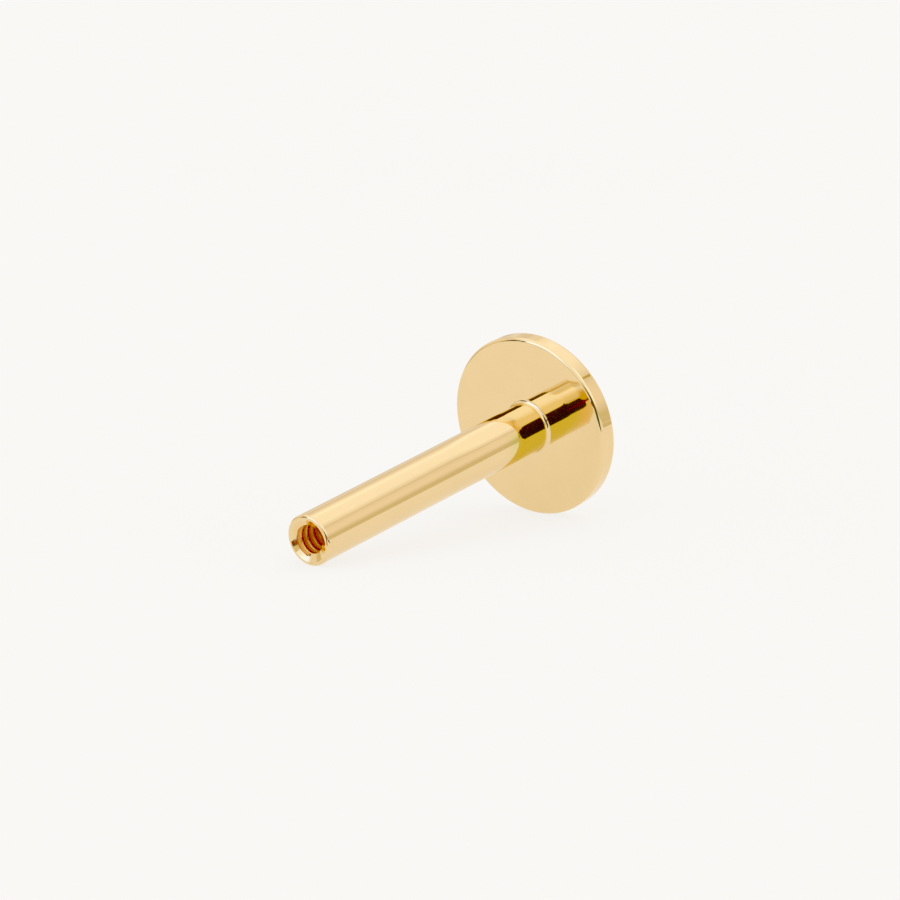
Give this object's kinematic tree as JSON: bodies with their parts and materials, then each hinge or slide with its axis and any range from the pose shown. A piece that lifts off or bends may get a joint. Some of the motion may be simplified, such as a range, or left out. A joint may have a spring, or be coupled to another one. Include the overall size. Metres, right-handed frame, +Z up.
{
  "type": "labret stud",
  "caption": "Flat-back labret stud of polished yellow gold: a round disc soldered to a straight hollow post, with an internal thread at the free end.",
  "frame": {"origin": "on the surface that the stud lies on, under the middle of its box", "axes": "+Z up; the post runs along Y and leans down to its free end, which points to -Y; +X across the disc"},
  "size_m": [0.0044, 0.0088, 0.0044],
  "materials": {
    "polished_gold": "polished"
  },
  "bodies": {
    "root": {"labret_stud": "polished_gold"}
  },
  "joints": []
}
